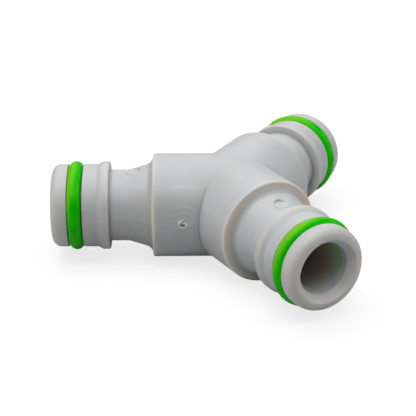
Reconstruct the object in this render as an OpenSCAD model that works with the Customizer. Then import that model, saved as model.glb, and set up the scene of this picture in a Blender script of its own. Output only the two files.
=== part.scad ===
// Three-way hose connector: three quick-connect hose nipples moulded in one piece as a level Y,
// each with a rubber seal ring in its groove. Sizes are in millimetres and +Z is up.
// The origin is the hub centre, where the three arm axes meet.
// Places along an arm are distances from the hub centre, measured outwards.

/* [Body tubes] */
// Diameter of the thick tubes that meet in the hub
body_d = 21.2; // [20:0.1:25]
// Length of a thick tube from the hub centre to its shoulder
body_len = 15.5; // [12:0.5:40]
// Radius of the rounded edge of the shoulder
shoulder_edge = 0.35; // [0.1:0.05:0.6]
// Radius of the hollow curve at the foot of the shoulder
shoulder_fillet = 1.95; // [0.8:0.05:2.2]

/* [Neck] */
// Diameter of the neck that a coupling's latch drops into
neck_d = 14.6; // [14.2:0.1:15.4]
// Length of the straight part of the neck
neck_len = 3.9; // [3.2:0.1:6]
// Length of the flare from the neck to the shoulder
flare_len = 5; // [4:0.1:9]

/* [Latch collar] */
// Diameter of the collar that the latch holds
collar_d = 18.05; // [17.5:0.05:19]
// Length of the collar's outer face
collar_len = 1.4; // [0.8:0.1:3]
// Length of the cone that leads up to the collar
collar_cone_len = 1; // [0.5:0.1:3]
// Radius of the collar's rounded edges
collar_edge = 0.15; // [0.05:0.05:0.3]

/* [Nose] */
// Diameter of the nose, which a coupling's socket slides over
nose_d = 17; // [16.7:0.1:17.4]
// Length of the nose from the seal groove to the tip
nose_len = 3.35; // [2.8:0.05:6]
// Radius of the rounding at the tip
nose_round = 1.8; // [0.5:0.1:1.9]
// Length of the land between the seal groove and the collar's cone
land_len = 2.95; // [1.5:0.05:6]

/* [Bore] */
// Diameter of the water way
bore_d = 10.6; // [8:0.1:10.8]
// Diameter of the mouth at the tip's face
mouth_d = 12.9; // [11.5:0.1:13]
// Depth of the cone that leads from the mouth into the bore
mouth_len = 1.6; // [0.5:0.1:3]

/* [Seal rings] */
// Thickness of a seal ring's round section
seal_section = 3; // [2.6:0.05:3.2]
// Outer diameter of a seal ring as fitted
seal_d = 18.25; // [18:0.05:18.8]
// Gap between a seal ring and its groove's floor and walls
seal_clearance = 0.05; // [0.02:0.01:0.15]
// Radius of the rounded edges of the seal groove
groove_edge = 0.2; // [0.05:0.05:0.4]

/* [Moulding marks] */
// Diameter of the flat that an ejector pin leaves on top of each neck
pin_mark_d = 3.2; // [2.6:0.1:4]
// Height of that flat above the top of the neck
pin_mark_h = 0.1; // [0.05:0.05:0.3]
// How far the middle of that flat lies from the neck's inner end, back towards the hub
pin_mark_back = 0.9; // [0.5:0.05:1.2]
// Outer diameter of the raised rim round the injection gate
gate_rim_d = 2.1; // [1.5:0.1:3]
// Height of that rim above the tube
gate_rim_h = 0.12; // [0.05:0.01:0.3]
// Diameter of the pit inside the rim
gate_pit_d = 1.1; // [0.6:0.1:1.3]
// Depth of that pit below the tube's surface
gate_pit_depth = 0.3; // [0.1:0.05:0.6]
// Distance of the gate from the hub centre along its arm
gate_at = 9.4; // [8:0.1:14]

/* [Hidden] */

left_angle = 180;
front_angle = -60;
rear_angle = 60;
arm_angles = [left_angle, front_angle, rear_angle];

body_r = body_d / 2;
neck_r = neck_d / 2;
collar_r = collar_d / 2;
nose_r = nose_d / 2;
bore_r = bore_d / 2;
mouth_r = mouth_d / 2;
ring_r = seal_section / 2;
seal_mid_r = seal_d / 2 - ring_r;
groove_r = seal_mid_r - ring_r - seal_clearance;
groove_w = seal_section + 2 * seal_clearance;

// Stations along an arm, from the hub outwards
neck_at = body_len + flare_len;
collar_at = neck_at + neck_len;
cone_at = collar_at + collar_len;
land_at = cone_at + collar_cone_len;
groove_at = land_at + land_len;
nose_at = groove_at + groove_w;
arm_len = nose_at + nose_len;
seal_at = groove_at + groove_w / 2;

pin_mark_z = neck_r + pin_mark_h;

body_colour = [0.79, 0.8, 0.81];
seal_colour = [0.23, 0.72, 0.04];
round_facets = 96;
past_face = 1;

// Angle on a circle, seen from its centre, where the flare's straight line touches it
function touch_angle(centre, radius, point) =
    let (reach = point - centre)
    atan2(reach[1], reach[0]) + acos(radius / norm(reach));

// Turns a shape built up along +Z so that it runs out along the arm at this angle
module along_arm(angle) {
    rotate([0, 0, angle]) rotate([0, 90, 0]) children();
}

// In every half section the first number is the radius and the second the station along the arm.

// Rounds off one outer corner of a half section. Both numbers of inward are 1 or -1, and they say on
// which side of the corner the material lies.
module round_off(corner, inward, radius) {
    difference() {
        children();
        difference() {
            polygon([
                corner,
                corner + [inward[0] * radius, 0],
                corner + inward * radius,
                corner + [0, inward[1] * radius]
            ]);
            translate(corner + inward * radius) circle(r = radius, $fn = round_facets);
        }
    }
}

// Half section of the thick tube and its shoulder
module tube_section() {
    round_off([body_r, body_len], [-1, -1], shoulder_edge) square([body_r, body_len]);
}

// Half section of the flare, which runs tangent into the hollow curve under the shoulder
module flare_section() {
    centre = [body_r - shoulder_edge, body_len + shoulder_fillet];
    angle = touch_angle(centre, shoulder_fillet, [neck_r, neck_at]);
    touch = centre + shoulder_fillet * [cos(angle), sin(angle)];
    difference() {
        polygon([
            [0, body_len],
            [centre[0], body_len],
            [centre[0], touch[1]],
            touch,
            [neck_r, neck_at],
            [0, neck_at]
        ]);
        translate(centre) circle(r = shoulder_fillet, $fn = round_facets);
    }
}

module neck_section() {
    translate([0, neck_at]) square([neck_r, neck_len]);
}

module collar_section() {
    round_off([collar_r, collar_at], [-1, 1], collar_edge)
        polygon([
            [0, collar_at],
            [collar_r, collar_at],
            [collar_r, cone_at],
            [nose_r, land_at],
            [0, land_at]
        ]);
}

module land_section() {
    round_off([nose_r, groove_at], [-1, -1], groove_edge)
        translate([0, land_at]) square([nose_r, land_len]);
}

module groove_section() {
    translate([0, groove_at]) square([groove_r, groove_w]);
}

module nose_section() {
    round_off([nose_r, nose_at], [-1, 1], groove_edge)
        round_off([nose_r, arm_len], [-1, -1], nose_round)
            translate([0, nose_at]) square([nose_r, nose_len]);
}

// Half section of one solid nipple, from the hub centre to the tip
module nipple_outline() {
    tube_section();
    flare_section();
    neck_section();
    collar_section();
    land_section();
    groove_section();
    nose_section();
}

module nipple(angle) {
    along_arm(angle) rotate_extrude($fn = round_facets) nipple_outline();
}

// Water way of one arm, with the cone at its mouth
module water_way(angle) {
    along_arm(angle) rotate_extrude($fn = round_facets) polygon([
        [0, 0],
        [bore_r, 0],
        [bore_r, arm_len - mouth_len],
        [mouth_r, arm_len],
        [mouth_r, arm_len + past_face],
        [0, arm_len + past_face]
    ]);
}

// Round column that stands on top of a neck, where the flare begins, between two heights
module at_pin_mark(angle, low, high) {
    rotate([0, 0, angle])
        translate([neck_at - pin_mark_back, 0, low])
            cylinder(d = pin_mark_d, h = high - low, $fn = round_facets);
}

// Low pad that an ejector pin leaves where the neck falls away below the pin's flat end
module pin_pad(angle) {
    at_pin_mark(angle, (bore_r + neck_r) / 2, pin_mark_z);
}

// Pocket that the same pin leaves where the flare rises above its flat end
module pin_pocket(angle) {
    at_pin_mark(angle, pin_mark_z, body_r);
}

// Points out of the left tube's side, level with the mould's parting line
module at_gate() {
    translate([-gate_at, 0, 0]) rotate([90, 0, 0]) children();
}

module gate_rim() {
    at_gate() translate([0, 0, body_r - gate_rim_d / 2])
        cylinder(d = gate_rim_d, h = gate_rim_d / 2 + gate_rim_h, $fn = round_facets);
}

module gate_pit() {
    at_gate() translate([0, 0, body_r - gate_pit_depth])
        cylinder(d = gate_pit_d, h = gate_pit_depth + gate_rim_h + past_face, $fn = round_facets);
}

module body() {
    color(body_colour) difference() {
        union() {
            for (angle = arm_angles) {
                nipple(angle);
                pin_pad(angle);
            }
            gate_rim();
        }
        for (angle = arm_angles) {
            water_way(angle);
            pin_pocket(angle);
        }
        gate_pit();
    }
}

module seal_ring(angle) {
    color(seal_colour) along_arm(angle) translate([0, 0, seal_at])
        rotate_extrude($fn = round_facets)
            translate([seal_mid_r, 0]) circle(r = ring_r, $fn = round_facets);
}

module seal_ring_left() {
    seal_ring(left_angle);
}

module seal_ring_front() {
    seal_ring(front_angle);
}

module seal_ring_rear() {
    seal_ring(rear_angle);
}

body();
seal_ring_left();
seal_ring_front();
seal_ring_rear();
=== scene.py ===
"""Three-way hose connector: the moulded body and its seal rings, dressed and lit for the photo's view."""
import math

import bmesh
import bpy
from mathutils import Matrix, Vector, noise


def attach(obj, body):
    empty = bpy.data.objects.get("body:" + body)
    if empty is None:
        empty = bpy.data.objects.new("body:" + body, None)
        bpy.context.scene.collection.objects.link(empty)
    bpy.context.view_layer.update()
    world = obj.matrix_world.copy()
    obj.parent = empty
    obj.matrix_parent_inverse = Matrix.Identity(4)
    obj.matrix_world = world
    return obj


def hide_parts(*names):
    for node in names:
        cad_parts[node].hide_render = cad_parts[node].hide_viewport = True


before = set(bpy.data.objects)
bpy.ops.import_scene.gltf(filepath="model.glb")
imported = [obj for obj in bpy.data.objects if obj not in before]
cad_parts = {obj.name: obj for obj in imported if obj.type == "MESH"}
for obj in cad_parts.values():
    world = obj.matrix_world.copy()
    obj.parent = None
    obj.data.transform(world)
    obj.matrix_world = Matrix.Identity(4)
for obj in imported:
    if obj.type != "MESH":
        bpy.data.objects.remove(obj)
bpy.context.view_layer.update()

# Sizes are in millimetres unless a comment says otherwise
MM = 0.001
UP = Vector((0, 0, 1))

# Directions of the arms in the level plane, in degrees, and half the angle between two of them
ARMS = {"left": 180.0, "front": -60.0, "rear": 60.0}
HALF_SPREAD = math.radians(60.0)

# Radii of the moulded body
BODY_R = 10.6
FLARE_FOOT_R = 8.8
NECK_R = 7.3
COLLAR_R = 9.025
NOSE_R = 8.5
GROOVE_R = 6.075
MOUTH_R = 6.45
BORE_R = 5.3

# Stations along an arm, from the hub centre
BODY_END = 15.5
NECK_AT = 20.5
COLLAR_AT = 24.4
CONE_AT = 25.8
LAND_AT = 26.8
GROOVE_AT = 29.75
NOSE_AT = 32.85
TIP = 36.2
TIP_ROUND = 1.8
MOUTH_END = 34.6

# Corners of an arm's wall from the thick tube round the tip into the bore: station, radius, rounding
WALL_CORNERS = [
    (BODY_END, BODY_R, 0.35),
    (BODY_END, FLARE_FOOT_R, 1.95),
    (NECK_AT, NECK_R, 2.5),
    (COLLAR_AT, NECK_R, 0.25),
    (COLLAR_AT, COLLAR_R, 0.28),
    (CONE_AT, COLLAR_R, 0.22),
    (LAND_AT, NOSE_R, 0.35),
    (GROOVE_AT, NOSE_R, 0.2),
    (GROOVE_AT, GROOVE_R, 0.15),
    (NOSE_AT, GROOVE_R, 0.15),
    (NOSE_AT, NOSE_R, 0.2),
    (TIP, NOSE_R, TIP_ROUND),
    (TIP, MOUTH_R, 0.12),
    (MOUTH_END, BORE_R, 0.2),
]

# The body's mesh has plain grids on the tubes and in the bores. Between them runs the wall's outline, with
# close points on its arcs, a support point by each end of a straight stretch, and a limit on its steps.
TUBE_GRID_END = 14.5
BORE_GRID_END = 33.5
TUBE_COLUMNS = 12
BORE_COLUMNS = 8
ROUND_ROWS = 120
ARC_STEP = math.radians(12.0)
SUPPORT = 0.12
LONGEST_STEP = 0.8

# Points that lie closer than this are one point, in an outline and in a finished mesh
SAME_POINT = 1e-4
WELD = 0.002
SHARP_ANGLE = math.radians(32.0)
NEARLY_ZERO = 1e-9

# Rolled blend in the creases between the thick tubes
CREASE_R = 0.25
CREASE_COLUMNS = 4

# Shrinkage dishes the thick hub a little, above and below, but not its water ways
SINK_DEPTH = 0.12
SINK_REACH = 4.0
WATER_WAY_HALF = BORE_R + 1

# Fine ridge that the mould's parting line leaves along both sides of each arm, the heights of the extra rows
# of points that carry it, and how far past the last of them the even rows begin again
SEAM_HEIGHT = 0.05
SEAM_HALF_WIDTH = 0.07
SEAM_ROWS = [0.035, 0.075, 0.12, 0.2, 0.34]
SEAM_ROWS_PAST = 1.3
SEAM_ON_SEAL_FACES = 0.5
SEAM_LEAST_R = GROOVE_R + 1

# Flat print of an ejector pin on top of each neck: a pocket in the flare, and a low pad beyond it
PIN_R = 1.4
PIN_AT = 19.75
PIN_FLAT = 7.5
PIN_FOOT = 6.3
PIN_SLOPE = 0.22
PIN_PAD_INSET = 0.07

# Injection gate on the left tube's near side, with its pit
GATE_AT = 9.4
GATE_SPOT = Vector((-GATE_AT, -BODY_R, 0))
GATE_PIT_R = 0.5
GATE_PIT_DEPTH = 0.3
GATE_PIT_SOFT = 0.08

# Torn burr that curls round the pit. The head is its first seventh and the tail its last third.
BURR_HEAD_R = 0.4
BURR_R = 0.76
BURR_END_R = 1.35
BURR_HEAD_PARTS = 7
BURR_TAIL_PARTS = 3
BURR_START = math.radians(95.0)
BURR_TURN = math.radians(-380.0)
BURR_THICK = 0.25
BURR_FLATTENED = 0.75
BURR_LIFT = 0.22
BURR_SQUASH = 0.8
BURR_WANDER = 0.06
BURR_RAGGED = 0.7
BURR_LUMPS = 2.2
BURR_SEED = 3.1
BURR_STEPS = 90
BURR_SIDES = 12

# Shallow round print on the rear tube, tilted from its top towards the camera's side, with a sloped wall
PRINT_AT = 11.1
PRINT_TILT = math.radians(29.5)
PRINT_R = 0.95
PRINT_DEPTH = 0.09
PRINT_FOOT_INSET = 0.08
PRINT_RIM_OUTSET = 0.04
PRINT_ABOVE = 0.05

# Seal rings, each with its mould's fine flash line and a slow waver of its section
SEAL_AT = (GROOVE_AT + NOSE_AT) / 2
SEAL_MID_R = 7.625
SEAL_SECTION_R = 1.5
SEAL_ROUND = 216
SEAL_SECTION = 48
SEAL_FLASH = 0.03
SEAL_FLASH_WIDTH = math.radians(6.0)
SEAL_WAVER = 0.03
SEAL_WAVES_ROUND = 1.6
SEAL_WAVES_SECTION = 0.7
SEAL_SEED_STEP = 5.0
# How far each ring has slid from the middle of its groove towards the tip, and how much more at its side
# and at its top. A ring goes flat where it presses on the groove's wall, just short of the parting ridge.
SEAL_SLIDE = {"left": (-0.02, 0.13, 0.1), "front": (0.02, 0.03, -0.02), "rear": (-0.13, -0.03, -0.02)}
SEAL_GAP = 0.03

# Colours of the plastic, and of the painted shade and painted light on its creases, edges and thin walls and
# in its water ways
PLASTIC_DARK = (0.56, 0.573, 0.58, 1.0)
PLASTIC_LIGHT = (0.6, 0.613, 0.622, 1.0)
# Painted shade for the hub's creases
CREASE_PAINTED_SHADE = (0.2, 0.2, 0.2, 1.0)
# Painted shade for the corner behind each collar
COLLAR_CORNER_PAINTED_SHADE = (0.21, 0.2, 0.19, 1.0)
# Painted glow of light through the thin nose and collar
THIN_WALL_PAINTED_GLOW = (0.675, 0.66, 0.635, 1.0)
# Painted glow along the shoulder's edge
EDGE_PAINTED_GLOW = (0.93, 0.91, 0.86, 1.0)
# Painted glow just under the shoulder's edge
UNDER_EDGE_PAINTED_GLOW = (0.77, 0.71, 0.64, 1.0)
# Painted shade in the hollow below the shoulder
HOLLOW_PAINTED_SHADE = (0.44, 0.415, 0.385, 1.0)
# Painted glows in the water ways, warm deep in them and green under the rings
WATER_WAY_PAINTED_GLOW = (0.6, 0.46, 0.39, 1.0)
RING_PAINTED_GLOW = (0.4, 0.6, 0.3, 1.0)
TORN_WHITE = (0.84, 0.84, 0.84, 1.0)
FLOW_WHITE = (0.95, 0.95, 0.95, 1.0)

# The most of each of those colours that shows
UNDER_EDGE_PAINTED_GLOW_SHARE = 0.65
HOLLOW_PAINTED_SHADE_SHARE = 0.42
COLLAR_PAINTED_GLOW_SHARE = 0.4
COLLAR_CORNER_PAINTED_SHADE_SHARE = 0.48
WATER_WAY_PAINTED_GLOW_SHARE = 0.9
RING_PAINTED_GLOW_SHARE = 0.68
RIPPLE_SHARE = 0.09
FLOW_MARK_SHARE = 0.1

# Painted shade beside the hub's creases, narrow and wide: reach, share
PAINTED_CREASE_SHADES = [(0.7, 0.3), (3.0, 0.16)]
# Bands of painted glow along the shoulder's edge: where one starts, where it is full, share
PAINTED_EDGE_GLOW_BANDS = [(BODY_END - 0.7, BODY_END - 0.25, 0.6), (BODY_END - 1.7, BODY_END - 0.5, 0.15)]

# Rings that the melt left above the gate, each a little wider than the one inside it, and one far out
RIPPLE_R = 1.72
RIPPLE_RATIO = 1.5
RIPPLE_HEIGHT = 0.02
RIPPLES_FULL = 3.6
RIPPLES_END = 5.0
FLOW_MARK_R = 7.9

# Green of the seal rings, and the direction of the painted light on them, which makes them yellower where
# they face it
RUBBER_DEEP = (0.0, 0.55, 0.0, 1.0)
RUBBER_FRESH = (0.012, 0.63, 0.0, 1.0)
RUBBER_PAINTED_LIGHT = (0.16, 0.6, 0.008, 1.0)
RUBBER_SHEEN = (1.0, 0.9, 0.3, 1.0)
PAINTED_LIGHT_FROM = (-0.75, 0.2, 0.63)

# Floor: a dim grey to the light on the object. To the camera it is a grey and a glow that make white
# together, and past the reach of the lamps the glow makes white alone.
FLOOR_HALF = 3000.0
FLOOR_DIM = (0.5, 0.5, 0.5, 1.0)
FLOOR_LIT = (0.25, 0.25, 0.25, 1.0)
FLOOR_GLOW = 0.77
LAMPS_FADE = 120
LAMPS_END = 600
WHITE = (1.0, 1.0, 1.0, 1.0)


def arc_between(before, corner, after, radius):
    """Points of the rounding at one corner of an outline."""
    to_before = (before - corner).normalized()
    to_after = (after - corner).normalized()
    opening = to_before.angle(to_after)
    centre = corner + (to_before + to_after).normalized() * (radius / math.sin(opening / 2))
    start = corner + to_before * (radius / math.tan(opening / 2)) - centre
    turn = math.copysign(math.pi - opening, (corner - before).cross(after - corner))
    steps = math.ceil(abs(turn) / ARC_STEP)
    return [centre + Matrix.Rotation(turn * i / steps, 2) @ start for i in range(steps + 1)]


def divided(points):
    """The outline with its straight stretches divided, and a support point close to both ends of each."""
    dense = [points[0]]
    for a, b in zip(points, points[1:]):
        length = (b - a).length
        if length > 3 * SUPPORT:
            inner = length - 2 * SUPPORT
            pieces = math.ceil(inner / LONGEST_STEP)
            dense += [a.lerp(b, (SUPPORT + inner * i / pieces) / length) for i in range(pieces + 1)]
        dense.append(b)
    return dense


def wall_outline():
    """Half section of an arm's wall, from the thick tube round the tip into the bore, with its normals."""
    corners = [Vector((TUBE_GRID_END, BODY_R))]
    corners += [Vector((station, radius)) for station, radius, _ in WALL_CORNERS]
    corners.append(Vector((BORE_GRID_END, BORE_R)))
    points = [corners[0]]
    for i, (_, _, rounding) in enumerate(WALL_CORNERS, start=1):
        for point in arc_between(corners[i - 1], corners[i], corners[i + 1], rounding):
            if (point - points[-1]).length > SAME_POINT:
                points.append(point)
    points.append(corners[-1])
    points = divided(points)
    ends = [points[0] * 2 - points[1]] + points + [points[-1] * 2 - points[-2]]
    tangents = [(after - before).normalized() for before, after in zip(ends, ends[2:])]
    return [(point, Vector((-tangent.y, tangent.x))) for point, tangent in zip(points, tangents)]


def row_angles():
    """Angles round an arm, mirrored so that neighbouring arms meet, with extra rows at the parting line."""
    seam = [math.asin(z / BODY_R) for z in SEAM_ROWS]
    even = [2 * math.pi * i / ROUND_ROWS for i in range(ROUND_ROWS // 4 + 1)]
    quarter = [0.0] + seam + [a for a in even if a > SEAM_ROWS_PAST * seam[-1]]
    half = quarter + [math.pi - a for a in reversed(quarter[:-1])]
    return half + [a + math.pi for a in half[1:-1]]


def seam_share(station, radius):
    """How much of the parting ridge's height there is at a point of the wall's outline."""
    if radius < SEAM_LEAST_R:
        return 0.0
    if station < LAND_AT:
        return 1.0
    return SEAM_ON_SEAL_FACES * min(1.0, (TIP - station) / TIP_ROUND)


def seam_ridge(point, normal, share):
    return point + normal * (share * SEAM_HEIGHT * math.exp(-((point.z / SEAM_HALF_WIDTH) ** 2)))


def wall_row(angle, outline):
    """Points of an arm's wall at one angle round its axis: out along the arm, to its side, and up."""
    side = math.cos(angle)
    up = math.sin(angle)
    outward = Vector((0, side, up))
    lean = abs(side) if abs(side) > NEARLY_ZERO else 0.0
    middle = Vector((math.cos(HALF_SPREAD), math.copysign(math.sin(HALF_SPREAD), side), 0))
    to_middle = (middle * lean * math.sin(HALF_SPREAD) + UP * up).normalized()
    ball = outward * (BODY_R + CREASE_R)
    ball.x = (BODY_R + CREASE_R) * lean / math.tan(HALF_SPREAD)
    row = []
    for i in range(CREASE_COLUMNS):
        normal = to_middle.slerp(outward, i / CREASE_COLUMNS)
        row.append(seam_ridge(ball - normal * CREASE_R, normal, 1.0))
    for i in range(TUBE_COLUMNS):
        station = ball.x + (TUBE_GRID_END - ball.x) * i / TUBE_COLUMNS
        row.append(seam_ridge(Vector((station, BODY_R * side, BODY_R * up)), outward, 1.0))
    for flat_point, flat_normal in outline:
        point = Vector((flat_point.x, flat_point.y * side, flat_point.y * up))
        normal = Vector((flat_normal.x, flat_normal.y * side, flat_normal.y * up))
        row.append(seam_ridge(point, normal, seam_share(*flat_point)))
    junction = BORE_R * lean / math.tan(HALF_SPREAD)
    for i in range(1, BORE_COLUMNS + 1):
        station = BORE_GRID_END + (junction - BORE_GRID_END) * i / BORE_COLUMNS
        row.append(Vector((station, BORE_R * side, BORE_R * up)))
    return row


def dished(point):
    """A point of the body's skin, lowered towards the level plane where the thick hub shrank."""
    if abs(point.z) < WATER_WAY_HALF:
        return point
    away = math.hypot(point.x, point.y)
    share = SINK_DEPTH / BODY_R * math.exp(-((away / SINK_REACH) ** 2))
    return Vector((point.x, point.y, point.z * (1 - share)))


def mesh_object(name, points, faces):
    """A smooth-shaded object from points in millimetres."""
    mesh = bpy.data.meshes.new(name)
    mesh.from_pydata([p * MM for p in points], [], faces)
    mesh.polygons.foreach_set("use_smooth", [True] * len(mesh.polygons))
    made = bpy.data.objects.new(name, mesh)
    bpy.context.scene.collection.objects.link(made)
    return made


def weld(made):
    """Joins the points of a mesh object that meet, and turns all its faces outwards."""
    work = bmesh.new()
    work.from_mesh(made.data)
    bmesh.ops.remove_doubles(work, verts=work.verts, dist=WELD * MM)
    bmesh.ops.dissolve_degenerate(work, edges=work.edges, dist=WELD * MM / 2)
    bmesh.ops.recalc_face_normals(work, faces=work.faces)
    work.to_mesh(made.data)
    work.free()


def closed_mesh(name, points, faces):
    made = mesh_object(name, points, faces)
    weld(made)
    return made


def body_skin():
    """The whole moulded skin, outside and in the water ways, as one closed mesh."""
    outline = wall_outline()
    rows = [wall_row(angle, outline) for angle in row_angles()]
    columns = len(rows[0])
    points = []
    faces = []
    for direction in ARMS.values():
        turn = Matrix.Rotation(math.radians(direction), 3, "Z")
        start = len(points)
        points += [dished(turn @ point) for row in rows for point in row]
        for i in range(len(rows)):
            here = start + i * columns
            there = start + (i + 1) % len(rows) * columns
            faces += [(here + j, here + j + 1, there + j + 1, there + j) for j in range(columns - 1)]
    return closed_mesh("hose_connector_body", points, faces)


def turned(name, outline, place, segments=72):
    """A closed solid turned from a half section of radius and height, then put in place."""
    points = []
    faces = []
    for i in range(segments):
        angle = 2 * math.pi * i / segments
        points += [place @ Vector((r * math.cos(angle), r * math.sin(angle), h)) for r, h in outline]
    count = len(outline)
    for i in range(segments):
        here = i * count
        there = (i + 1) % segments * count
        faces += [(here + j, there + j, there + j + 1, here + j + 1) for j in range(count - 1)]
    return closed_mesh(name, points, faces)


def cut(target, tool, operation):
    """Joins the tool to the target or cuts it out of it, and removes the tool."""
    step = target.modifiers.new(operation.lower(), "BOOLEAN")
    step.operation = operation
    step.object = tool
    step.solver = "EXACT"
    bpy.context.view_layer.update()
    evaluated = target.evaluated_get(bpy.context.evaluated_depsgraph_get())
    result = bpy.data.meshes.new_from_object(evaluated)
    target.modifiers.clear()
    target.data = result
    bpy.data.objects.remove(tool)


def on_arm(direction, station):
    """Turns a shape to an arm's direction and moves it out to a station."""
    return Matrix.Rotation(math.radians(direction), 4, "Z") @ Matrix.Translation((station, 0, 0))


def pin_pad(direction):
    """A cone that stands up through the neck, a little inside the pocket, which cuts its top off level."""
    radius = PIN_R - PIN_PAD_INSET
    foot_radius = radius + (PIN_FLAT - PIN_FOOT)
    high = PIN_FLAT + PIN_SLOPE
    outline = [(0, PIN_FOOT), (foot_radius, PIN_FOOT), (radius - PIN_SLOPE, high), (0, high)]
    return turned("pin_pad", outline, on_arm(direction, PIN_AT))


def pin_pocket(direction):
    wide = PIN_R + PIN_SLOPE
    outline = [
        (0, PIN_FLAT),
        (PIN_R, PIN_FLAT),
        (wide, PIN_FLAT + 2 * PIN_SLOPE),
        (wide, BODY_R),
        (0, BODY_R),
    ]
    return turned("pin_pocket", outline, on_arm(direction, PIN_AT))


def gate_place():
    """Puts a turned solid on the left tube's near side, pointing out of it."""
    return Matrix.Translation(GATE_SPOT) @ Matrix.Rotation(math.radians(90), 4, "X")


def burr_ring(share):
    """Points round the burr's strand at one share of its length, with the gate's middle as the origin."""
    angle = BURR_START + BURR_TURN * share
    outward = Vector((math.cos(angle), math.sin(angle), 0))
    lump = noise.noise(outward * BURR_LUMPS + Vector((BURR_SEED, 0, share)))
    head = max(0.0, 1 - share * BURR_HEAD_PARTS)
    tail = max(0.0, share * BURR_TAIL_PARTS - (BURR_TAIL_PARTS - 1)) ** 3
    radius = BURR_R + (BURR_HEAD_R - BURR_R) * head + (BURR_END_R - BURR_R) * tail + BURR_WANDER * lump
    fullness = min(1.0, 0.08 + share * 6, 0.1 + (1 - share) * 7)
    thick = BURR_THICK * math.sin(math.pi * fullness / 2) * (1 + BURR_RAGGED * lump)
    squash = BURR_SQUASH + (1 - BURR_SQUASH) * tail
    ring = []
    for j in range(BURR_SIDES):
        turn = 2 * math.pi * j / BURR_SIDES
        spot = outward * (radius + thick * math.cos(turn)) + UP * (BURR_FLATTENED * thick * math.sin(turn))
        spot.y = spot.y * squash + BURR_LIFT
        ring.append(spot)
    return ring


def gate_burr():
    """The burr of the broken-off sprue, a ragged strand that widens round the pit like the figure six."""
    place = gate_place()
    points = []
    for i in range(BURR_STEPS + 1):
        points += [place @ spot for spot in burr_ring(i / BURR_STEPS)]
    last = BURR_STEPS * BURR_SIDES
    faces = [tuple(range(BURR_SIDES)), tuple(range(last, last + BURR_SIDES))]
    for i in range(BURR_STEPS):
        here = i * BURR_SIDES
        there = here + BURR_SIDES
        for j in range(BURR_SIDES):
            k = (j + 1) % BURR_SIDES
            faces.append((here + j, here + k, there + k, there + j))
    return closed_mesh("gate_burr", points, faces)


def gate_pit():
    """The pit, with a small soft edge at its floor and a wider one at its rim."""
    soft = GATE_PIT_SOFT
    outline = [
        (0, -GATE_PIT_DEPTH),
        (GATE_PIT_R - 2 * soft, -GATE_PIT_DEPTH),
        (GATE_PIT_R - 0.6 * soft, 0.6 * soft - GATE_PIT_DEPTH),
        (GATE_PIT_R, 2 * soft - GATE_PIT_DEPTH),
        (GATE_PIT_R, -soft),
        (GATE_PIT_R + 3 * soft, 2 * soft),
        (0, 2 * soft),
    ]
    return turned("gate_pit", outline, gate_place())


def rear_print():
    """The shallow round print on the rear tube's near side."""
    tilt = Matrix.Rotation(PRINT_TILT, 4, "X") @ Matrix.Translation((0, 0, BODY_R))
    foot_radius = PRINT_R - PRINT_FOOT_INSET
    rim_radius = PRINT_R + PRINT_RIM_OUTSET
    outline = [(0, -PRINT_DEPTH), (foot_radius, -PRINT_DEPTH), (rim_radius, PRINT_ABOVE), (0, PRINT_ABOVE)]
    return turned("rear_print", outline, on_arm(ARMS["rear"], PRINT_AT) @ tilt)


def hose_connector_body():
    """The moulded body with its marks."""
    body = body_skin()
    cut(body, rear_print(), "DIFFERENCE")
    cut(body, gate_pit(), "DIFFERENCE")
    cut(body, gate_burr(), "UNION")
    for direction in ARMS.values():
        cut(body, pin_pad(direction), "UNION")
        cut(body, pin_pocket(direction), "DIFFERENCE")
    weld(body)
    body.data.name = body.name
    body.data.polygons.foreach_set("use_smooth", [True] * len(body.data.polygons))
    body.data.set_sharp_from_angle(angle=SHARP_ANGLE)
    return body


def seal_radius(outward, angle, seed):
    """Radius of a ring's section at one angle of it, with the waver and the flash line."""
    across = Vector((SEAL_WAVES_SECTION * math.cos(angle), SEAL_WAVES_SECTION * math.sin(angle), seed))
    waver = noise.noise(outward * SEAL_WAVES_ROUND + across)
    off_line = min(abs(math.remainder(angle, math.pi)), SEAL_FLASH_WIDTH)
    flash = SEAL_FLASH * (1 - off_line / SEAL_FLASH_WIDTH)
    return SEAL_SECTION_R - SEAL_WAVER * (0.5 - 0.5 * waver) + flash - SEAL_FLASH


def seal_ring(name, direction, seed):
    """A rubber ring that sits a little unevenly in its groove."""
    place = Matrix.Rotation(math.radians(direction), 3, "Z")
    along, to_side, to_top = SEAL_SLIDE[name]
    points = []
    faces = []
    for i in range(SEAL_ROUND):
        round_angle = 2 * math.pi * i / SEAL_ROUND
        outward = Vector((0, math.cos(round_angle), math.sin(round_angle)))
        slide = along + to_side * outward.y + to_top * outward.z
        for j in range(SEAL_SECTION):
            angle = 2 * math.pi * j / SEAL_SECTION
            radius = seal_radius(outward, angle, seed)
            spot = outward * (SEAL_MID_R + radius * math.cos(angle))
            station = SEAL_AT + slide + radius * math.sin(angle)
            spot.x = min(max(station, GROOVE_AT + SEAL_GAP), NOSE_AT - SEAL_GAP)
            points.append(place @ spot)
    for i in range(SEAL_ROUND):
        here = i * SEAL_SECTION
        there = (i + 1) % SEAL_ROUND * SEAL_SECTION
        for j in range(SEAL_SECTION):
            k = (j + 1) % SEAL_SECTION
            faces.append((here + j, there + j, there + k, here + k))
    return mesh_object("rubber_seal_ring_" + name, points, faces)


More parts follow.
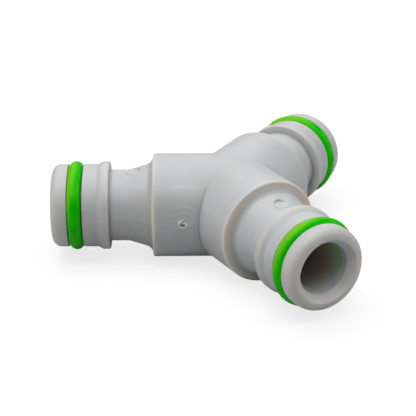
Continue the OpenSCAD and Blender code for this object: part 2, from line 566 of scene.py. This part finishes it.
class Nodes:
    """Short way to add nodes to one material."""

    def __init__(self, name):
        self.material = bpy.data.materials.new(name)
        self.material.use_nodes = True
        self.tree = self.material.node_tree
        self.tree.nodes.clear()

    def add(self, kind, inputs=None, **settings):
        """A new node. An input that is another node's output is linked, and any other is set."""
        node = self.tree.nodes.new(kind)
        for key, value in settings.items():
            setattr(node, key, value)
        for key, value in (inputs or {}).items():
            if isinstance(value, bpy.types.NodeSocket):
                self.tree.links.new(value, node.inputs[key])
            else:
                node.inputs[key].default_value = value
        return node

    def math(self, operation, first, second=0.0):
        return self.add("ShaderNodeMath", {0: first, 1: second}, operation=operation).outputs[0]

    def product(self, first, *others):
        for other in others:
            first = self.math("MULTIPLY", first, other)
        return first

    def vector(self, operation, *vectors):
        """The number that comes from one or two vectors, such as a length or a dot product."""
        inputs = dict(enumerate(vectors))
        return self.add("ShaderNodeVectorMath", inputs, operation=operation).outputs["Value"]

    def spread(self, value, low, high, to_low, to_high):
        """Takes the range between low and high softly to another range."""
        names = {"Value": value, "From Min": low, "From Max": high, "To Min": to_low, "To Max": to_high}
        return self.add("ShaderNodeMapRange", names, interpolation_type="SMOOTHSTEP").outputs[0]

    def spread_mm(self, measure, low, high, to_low, to_high):
        """The same for a measure on the object, with low and high in millimetres."""
        return self.spread(measure, low * MM, high * MM, to_low, to_high)

    def band(self, measure, start, full, past_full, end):
        """1 between two measures in millimetres, with soft edges, and 0 outside."""
        rise = self.spread_mm(measure, start, full, 0.0, 1.0)
        return self.product(rise, self.spread_mm(measure, past_full, end, 1.0, 0.0))

    def bump(self, height, strength, depth, normal=None):
        """Normals of a relief whose depth is in millimetres."""
        inputs = {"Height": height, "Strength": strength, "Distance": depth * MM}
        if normal is not None:
            inputs["Normal"] = normal
        return self.add("ShaderNodeBump", inputs).outputs["Normal"]

    def mix(self, share, first, second):
        """A mix of two colours. Inputs 6 and 7 and output 2 are the node's colour sockets."""
        return self.add("ShaderNodeMix", {0: share, 6: first, 7: second}, data_type="RGBA").outputs[2]

    def noise(self, spot, scale, detail, roughness):
        names = {"Vector": spot, "Scale": scale, "Detail": detail, "Roughness": roughness}
        return self.add("ShaderNodeTexNoise", names).outputs["Fac"]

    def finish(self, shader):
        output = self.add("ShaderNodeOutputMaterial")
        self.tree.links.new(shader, output.inputs["Surface"])
        return self.material


class Measures:
    """Where a spot of the body's skin lies, as outputs of nodes, for the layers of its colour."""

    def __init__(self, n):
        self.spot = n.add("ShaderNodeTexCoord").outputs["Object"]
        self.height = n.add("ShaderNodeSeparateXYZ", {0: self.spot}).outputs["Z"]
        self.from_gate = n.vector("DISTANCE", self.spot, GATE_SPOT * MM)
        along = []
        for direction in ARMS.values():
            angle = math.radians(direction)
            ahead = (math.cos(angle), math.sin(angle), 0)
            along.append(n.vector("DOT_PRODUCT", self.spot, ahead))
        least = n.math("MINIMUM", n.math("MINIMUM", along[0], along[1]), along[2])
        self.station = n.math("MAXIMUM", n.math("MAXIMUM", along[0], along[1]), along[2])
        self.past_crease = n.math("ADD", n.product(self.station, 2.0), least)
        whole = n.vector("DOT_PRODUCT", self.spot, self.spot)
        self.off_axis = n.math("SQRT", n.math("SUBTRACT", whole, n.product(self.station, self.station)))
        self.outside = n.spread_mm(self.off_axis, BORE_R + 0.1, BORE_R + 0.9, 0.0, 1.0)
        self.inside = n.spread_mm(self.off_axis, BORE_R + 0.2, BORE_R + 0.6, 1.0, 0.0)
        # Share of the painted glow that stands for light through thin walls: full low down, less towards the
        # top
        self.painted_glow_by_height = n.spread_mm(self.height, -2, 7, 1.0, 0.3)


def ripples(n, at):
    """Rings above the gate, between -1 and 1, that fade outwards."""
    turns = n.math("LOGARITHM", n.product(at.from_gate, 1 / (RIPPLE_R * MM)), RIPPLE_RATIO)
    wave = n.math("COSINE", n.product(turns, 2 * math.pi))
    above = n.spread(n.math("DIVIDE", at.height, at.from_gate), 0.45, 0.9, 0.0, 1.0)
    return n.product(wave, above, n.spread_mm(at.from_gate, RIPPLES_FULL, RIPPLES_END, 1.0, 0.0))


def cloudy_grey(n, at):
    cloud = n.noise(at.spot, scale=90.0, detail=4.0, roughness=0.55)
    return n.mix(n.spread(cloud, 0.3, 0.7, 0.0, 1.0), PLASTIC_DARK, PLASTIC_LIGHT)


def painted_crease_shades(n, at, colour):
    """Painted shade: darker beside the creases between the thick tubes, but not on top."""
    on_side = n.spread_mm(n.math("ABSOLUTE", at.height), 5, 9.8, 1.0, 0.0)
    for reach, share in PAINTED_CREASE_SHADES:
        near = n.spread_mm(at.past_crease, 0, reach, share, 0.0)
        colour = n.mix(n.product(near, on_side), colour, CREASE_PAINTED_SHADE)
    return colour


def shoulder(n, at, colour):
    """Painted light and shade at the shoulder: a pale glow along its edge, a warm glow just under it, and
    shade in the hollow below.
    """
    on_tube = n.product(n.spread_mm(at.off_axis, BODY_R - 0.7, BODY_R - 0.4, 0.0, 1.0), at.painted_glow_by_height)
    # Painted glow along the shoulder's edge, less towards the top
    for start, full, share in PAINTED_EDGE_GLOW_BANDS:
        edge = n.band(at.station, start, full, BODY_END + 0.05, BODY_END + 0.15)
        colour = n.mix(n.product(edge, on_tube, share), colour, EDGE_PAINTED_GLOW)
    # Painted shade in the hollow below the shoulder
    hollow = n.product(
        n.band(at.station, BODY_END - 0.1, BODY_END + 0.2, BODY_END + 0.5, BODY_END + 1.5),
        n.spread_mm(at.off_axis, BODY_R - 0.6, BODY_R - 0.2, HOLLOW_PAINTED_SHADE_SHARE, 0.0),
        at.outside,
    )
    colour = n.mix(hollow, colour, HOLLOW_PAINTED_SHADE)
    # Painted warm glow just under the shoulder's edge
    under_edge = n.product(
        n.band(at.station, BODY_END - 0.2, BODY_END, BODY_END + 0.1, BODY_END + 1.1),
        n.band(at.off_axis, FLARE_FOOT_R, BODY_R - 0.7, BODY_R - 0.3, BODY_R),
        UNDER_EDGE_PAINTED_GLOW_SHARE,
    )
    return n.mix(under_edge, colour, UNDER_EDGE_PAINTED_GLOW)


def nose_and_collar(n, at, colour):
    """Painted light, paler and warm, where the nose and the collar are thin, and painted shade in the corner
    behind the collar.
    """
    nose = n.product(n.spread_mm(at.station, NOSE_AT - 0.8, TIP - 2, 0.0, 1.0), at.painted_glow_by_height)
    collar = n.product(
        n.band(at.station, COLLAR_AT - 0.4, COLLAR_AT + 0.1, CONE_AT, CONE_AT + 0.8),
        n.spread_mm(at.off_axis, NECK_R + 0.3, COLLAR_R - 0.125, 0.0, COLLAR_PAINTED_GLOW_SHARE),
    )
    colour = n.mix(n.product(n.math("MAXIMUM", nose, collar), at.outside), colour, THIN_WALL_PAINTED_GLOW)
    # Painted shade in the corner behind the collar, deeper low down
    corner = n.product(
        n.band(at.station, COLLAR_AT - 1, COLLAR_AT, COLLAR_AT + 0.3, COLLAR_AT + 0.4),
        n.spread_mm(at.off_axis, NECK_R + 0.05, NECK_R + 1, COLLAR_CORNER_PAINTED_SHADE_SHARE, 0.0),
        n.spread_mm(at.height, -2, 7, 1.0, 0.5),
        at.outside,
    )
    return n.mix(corner, colour, COLLAR_CORNER_PAINTED_SHADE)


def water_way(n, at, colour):
    """Painted light in a water way: a warm glow deep in it, and a green glow under the ring, most in the
    upper part.
    """
    deep = n.product(at.inside, n.spread_mm(at.station, TIP - 10, TIP - 3, WATER_WAY_PAINTED_GLOW_SHARE, 0.0))
    colour = n.mix(deep, colour, WATER_WAY_PAINTED_GLOW)
    # Painted green glow under the ring
    under_ring = n.band(at.station, SEAL_AT - 5, SEAL_AT - 2, SEAL_AT + 1, SEAL_AT + 2.6)
    upper = n.spread_mm(at.height, -4, 2, 0.0, RING_PAINTED_GLOW_SHARE)
    return n.mix(n.product(at.inside, under_ring, upper), colour, RING_PAINTED_GLOW)


def gate_marks(n, at, colour):
    """White on the torn burr, and a little lighter on the ripples' crests and on the far flow mark."""
    raised = n.spread_mm(at.off_axis, BODY_R + 0.01, BODY_R + 0.08, 0.0, 1.0)
    torn = n.product(raised, n.spread_mm(at.from_gate, 1.6, 1.9, 1.0, 0.0))
    colour = n.mix(torn, colour, TORN_WHITE)
    crests = n.spread(ripples(n, at), 0.0, 1.0, 0.0, RIPPLE_SHARE)
    not_torn = n.spread(torn, 0.0, 0.1, 1.0, 0.0)
    colour = n.mix(n.product(crests, not_torn), colour, FLOW_WHITE)
    flow_mark = n.product(
        n.band(at.from_gate, FLOW_MARK_R - 0.9, FLOW_MARK_R - 0.1, FLOW_MARK_R + 0.1, FLOW_MARK_R + 0.4),
        n.spread_mm(at.height, 6, 7.2, 0.0, FLOW_MARK_SHARE),
    )
    return n.mix(flow_mark, colour, FLOW_WHITE)


def moulded_plastic():
    """Satin polypropylene, slightly translucent, with a fine grain, the ripples round the gate, and painted
    light and shade.
    """
    n = Nodes("moulded_plastic")
    at = Measures(n)
    colour = cloudy_grey(n, at)
    for layer in (painted_crease_shades, shoulder, nose_and_collar, water_way, gate_marks):
        colour = layer(n, at, colour)
    grain = n.noise(at.spot, scale=5200.0, detail=2.0, roughness=0.6)
    swell = n.noise(at.spot, scale=260.0, detail=2.0, roughness=0.5)
    normal = n.bump(grain, strength=0.2, depth=0.01)
    normal = n.bump(ripples(n, at), strength=1.0, depth=RIPPLE_HEIGHT, normal=normal)
    normal = n.bump(swell, strength=0.35, depth=0.06, normal=normal)
    shader = n.add(
        "ShaderNodeBsdfPrincipled",
        {
            "Base Color": colour,
            "Roughness": n.math("ADD", n.spread(swell, 0.3, 0.7, 0.36, 0.46), n.product(grain, 0.04)),
            "Normal": normal,
            "IOR": 1.49,
            "Subsurface Weight": 0.6,
            "Subsurface Radius": (1.0, 0.66, 0.45),
            "Subsurface Scale": 1.4 * MM,
        },
    )
    return n.finish(shader.outputs["BSDF"])


def seal_rubber():
    """Bright green rubber with a soft uneven bloom, and painted light: yellower where it faces up and to the
    left.
    """
    n = Nodes("seal_rubber")
    spot = n.add("ShaderNodeTexCoord").outputs["Object"]
    mottle = n.noise(spot, scale=420.0, detail=3.0, roughness=0.6)
    grain = n.noise(spot, scale=3800.0, detail=2.0, roughness=0.6)
    facing = n.add("ShaderNodeNewGeometry").outputs["Normal"]
    # Painted light: yellower on the side that faces up and to the left
    painted_lit_side = n.spread(n.vector("DOT_PRODUCT", facing, PAINTED_LIGHT_FROM), 0.15, 0.8, 0.0, 1.0)
    colour = n.mix(n.spread(mottle, 0.3, 0.7, 0.0, 1.0), RUBBER_DEEP, RUBBER_FRESH)
    shader = n.add(
        "ShaderNodeBsdfPrincipled",
        {
            "Base Color": n.mix(painted_lit_side, colour, RUBBER_PAINTED_LIGHT),
            "Roughness": n.spread(mottle, 0.3, 0.7, 0.3, 0.42),
            "Normal": n.bump(grain, strength=0.25, depth=0.015),
            "IOR": 1.5,
            "Specular IOR Level": 0.16,
            "Specular Tint": RUBBER_SHEEN,
            "Subsurface Weight": 0.08,
            "Subsurface Radius": (0.2, 1.0, 0.1),
            "Subsurface Scale": 0.6 * MM,
        },
    )
    return n.finish(shader.outputs["BSDF"])


def camera():
    """The photograph's view, found from the outline and edges of the object in it."""
    heading, pitch, roll = (math.radians(a) for a in (0.147, 24.141, -0.275))
    shift_right = 4.285 * MM
    shift_up = 0.759 * MM
    distance = 299.6 * MM
    focal_pixels = 1450.9
    photo_pixels = 416
    level_share = math.cos(pitch)
    forward = Vector((math.sin(heading) * level_share, math.cos(heading) * level_share, -math.sin(pitch)))
    level = Vector((math.cos(heading), -math.sin(heading), 0))
    above = level.cross(forward)
    right = level * math.cos(roll) + above * math.sin(roll)
    top = above * math.cos(roll) - level * math.sin(roll)
    turn = Matrix((right, top, -forward)).transposed()
    data = bpy.data.cameras.new("camera")
    data.sensor_width = 36
    data.lens = data.sensor_width * focal_pixels / photo_pixels
    data.clip_start = 0.02
    data.clip_end = 20
    made = bpy.data.objects.new("camera", data)
    bpy.context.scene.collection.objects.link(made)
    place = right * -shift_right + top * -shift_up + forward * -distance
    made.matrix_world = Matrix.Translation(place) @ turn.to_4x4()
    bpy.context.scene.camera = made


def softbox(name, azimuth, elevation, distance, width, height, power):
    """A soft lamp aimed at the hub, in degrees, metres and watts. Azimuth 0 is on the camera's side."""
    a = math.radians(azimuth)
    e = math.radians(elevation)
    back = Vector((math.sin(a) * math.cos(e), -math.cos(a) * math.cos(e), math.sin(e)))
    data = bpy.data.lights.new(name, "AREA")
    data.shape = "RECTANGLE"
    data.size = width
    data.size_y = height
    data.energy = power
    made = bpy.data.objects.new(name, data)
    bpy.context.scene.collection.objects.link(made)
    made.location = back * distance
    made.rotation_mode = "QUATERNION"
    made.rotation_quaternion = (-back).to_track_quat("-Z", "Y")


def lamps():
    """A tent of soft light: large boxes overhead and to the sides, and weaker low ones."""
    softbox("overhead_back", 180, 70, 0.7, 0.6, 0.3, 1.73)
    softbox("overhead_front", 0, 72, 0.7, 0.6, 0.3, 1.53)
    softbox("high_front", 0, 55, 0.7, 0.6, 0.3, 0.71)
    softbox("high_left", -90, 60, 0.7, 0.4, 0.4, 1.5)
    softbox("low_left", -90, 6, 0.8, 0.4, 0.3, 1.0)
    softbox("low_right", 90, 28, 0.8, 0.5, 0.3, 1.35)
    softbox("low_back", 180, 28, 0.8, 0.7, 0.3, 0.84)


def pale_floor():
    """White to the camera, with the object's soft shadow, and dim to the light that reaches the object."""
    n = Nodes("pale_floor")
    path = n.add("ShaderNodeLightPath")
    seen = n.math("MAXIMUM", path.outputs["Is Camera Ray"], path.outputs["Is Transmission Ray"])
    away = n.vector("LENGTH", n.add("ShaderNodeTexCoord").outputs["Object"])
    strength = n.spread_mm(away, LAMPS_FADE, LAMPS_END, FLOOR_GLOW, 1.0)
    dim = n.add("ShaderNodeBsdfDiffuse", {"Color": FLOOR_DIM})
    lit = n.add("ShaderNodeBsdfDiffuse", {"Color": FLOOR_LIT})
    glow = n.add("ShaderNodeEmission", {"Color": WHITE, "Strength": strength})
    white = n.add("ShaderNodeAddShader", {0: lit.outputs[0], 1: glow.outputs[0]})
    both = n.add("ShaderNodeMixShader", {0: seen, 1: dim.outputs[0], 2: white.outputs[0]})
    signs = ((-1, -1), (1, -1), (1, 1), (-1, 1))
    corners = [Vector((x * FLOOR_HALF, y * FLOOR_HALF, -BODY_R)) for x, y in signs]
    floor = mesh_object("floor", corners, [(0, 1, 2, 3)])
    floor.data.materials.append(n.finish(both.outputs[0]))


def pale_world():
    """Pale to the camera past the floor's edge, and no light on the object."""
    world = bpy.data.worlds.new("world")
    bpy.context.scene.world = world
    world.use_nodes = True
    nodes = world.node_tree.nodes
    links = world.node_tree.links
    nodes.clear()
    path = nodes.new("ShaderNodeLightPath")
    background = nodes.new("ShaderNodeBackground")
    output = nodes.new("ShaderNodeOutputWorld")
    links.new(path.outputs["Is Camera Ray"], background.inputs["Strength"])
    links.new(background.outputs[0], output.inputs["Surface"])


def dress():
    """Makes the pieces, and says what each one rides on, replaces and takes its finish from."""
    plastic = moulded_plastic()
    rubber = seal_rubber()
    body = hose_connector_body()
    body.data.materials.clear()
    body.data.materials.append(plastic)
    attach(body, "root")
    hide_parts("body")
    for i, (name, direction) in enumerate(ARMS.items()):
        ring = seal_ring(name, direction, i * SEAL_SEED_STEP)
        ring.data.materials.append(rubber)
        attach(ring, "root")
        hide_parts("seal_ring_" + name)


bpy.context.scene.view_settings.view_transform = "Standard"
camera()
dress()
pale_floor()
pale_world()
lamps()
